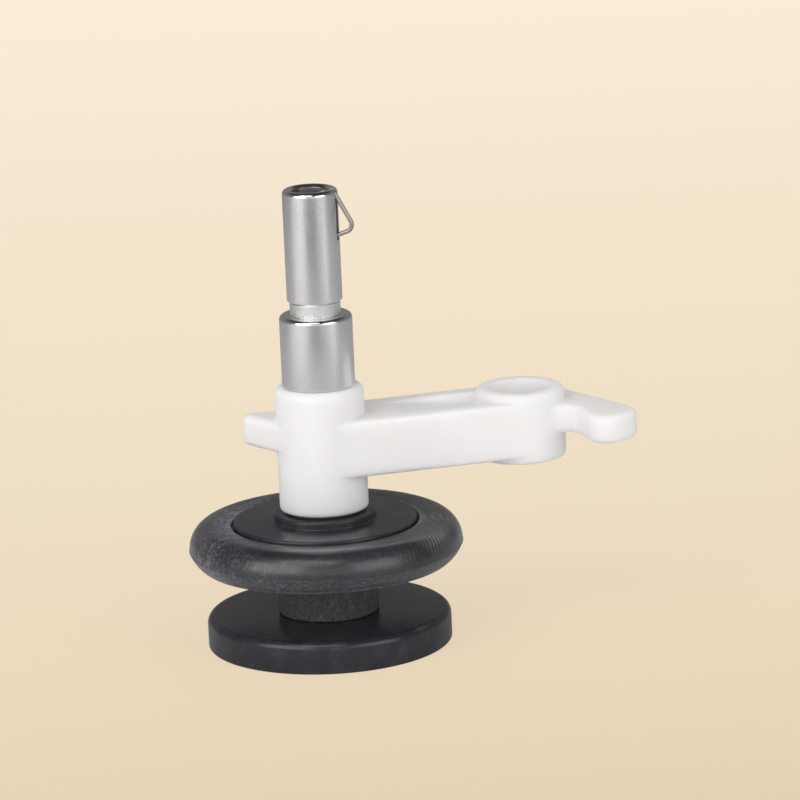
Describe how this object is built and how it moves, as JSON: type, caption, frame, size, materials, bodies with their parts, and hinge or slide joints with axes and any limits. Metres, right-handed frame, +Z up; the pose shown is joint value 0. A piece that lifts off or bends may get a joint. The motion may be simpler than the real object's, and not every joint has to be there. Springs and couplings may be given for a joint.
{
  "type": "bobbin winder",
  "caption": "Bobbin winder: sprung chrome spindle turning in a white moulded pivot arm, driven by a rubber-tyred friction wheel above a round base disc.",
  "frame": {"origin": "spindle axis at the underside of the base disc", "axes": "+Z up along the spindle axis, +X along the arm from the spindle to the pivot bore"},
  "size_m": [0.0481, 0.0298, 0.0504],
  "materials": {
    "white_acetal": "semi-matte milky moulding",
    "chrome_steel": "satin-bright chrome plate with polished edges",
    "spring_steel": "drawn wire",
    "washer_nylon": "plain dark nylon",
    "black_plastic": "satin moulding with light dust",
    "tyre_rubber": "moulded rubber with a dusty bloom",
    "sleeve_rubber": "ground matte rubber",
    "zinc_steel": "zinc plate"
  },
  "bodies": {
    "arm": {"winder_arm": "white_acetal"},
    "spindle": {"spindle_shaft": "chrome_steel", "thrust_washer": "washer_nylon", "wheel_hub": "black_plastic", "friction_tyre": "tyre_rubber", "spacer_sleeve": "sleeve_rubber", "base_disc": "black_plastic", "retaining_washer": "zinc_steel", "retaining_ring": "zinc_steel"},
    "spring": {"bobbin_spring": "spring_steel"}
  },
  "joints": [
    {"name": "spindle_spin", "type": "hinge", "parent": "arm", "child": "spindle", "pos_m": [0, 0, 0.02], "axis": [0, 0, 1], "continuous": true},
    {"name": "spring_flex", "type": "hinge", "parent": "spindle", "child": "spring", "pos_m": [0.00226, -0.00158, 0.05006], "axis": [0.5736, 0.8192, 0], "range_deg": [0, 30.5], "stiffness_Nm_per_rad": 0.02}
  ]
}
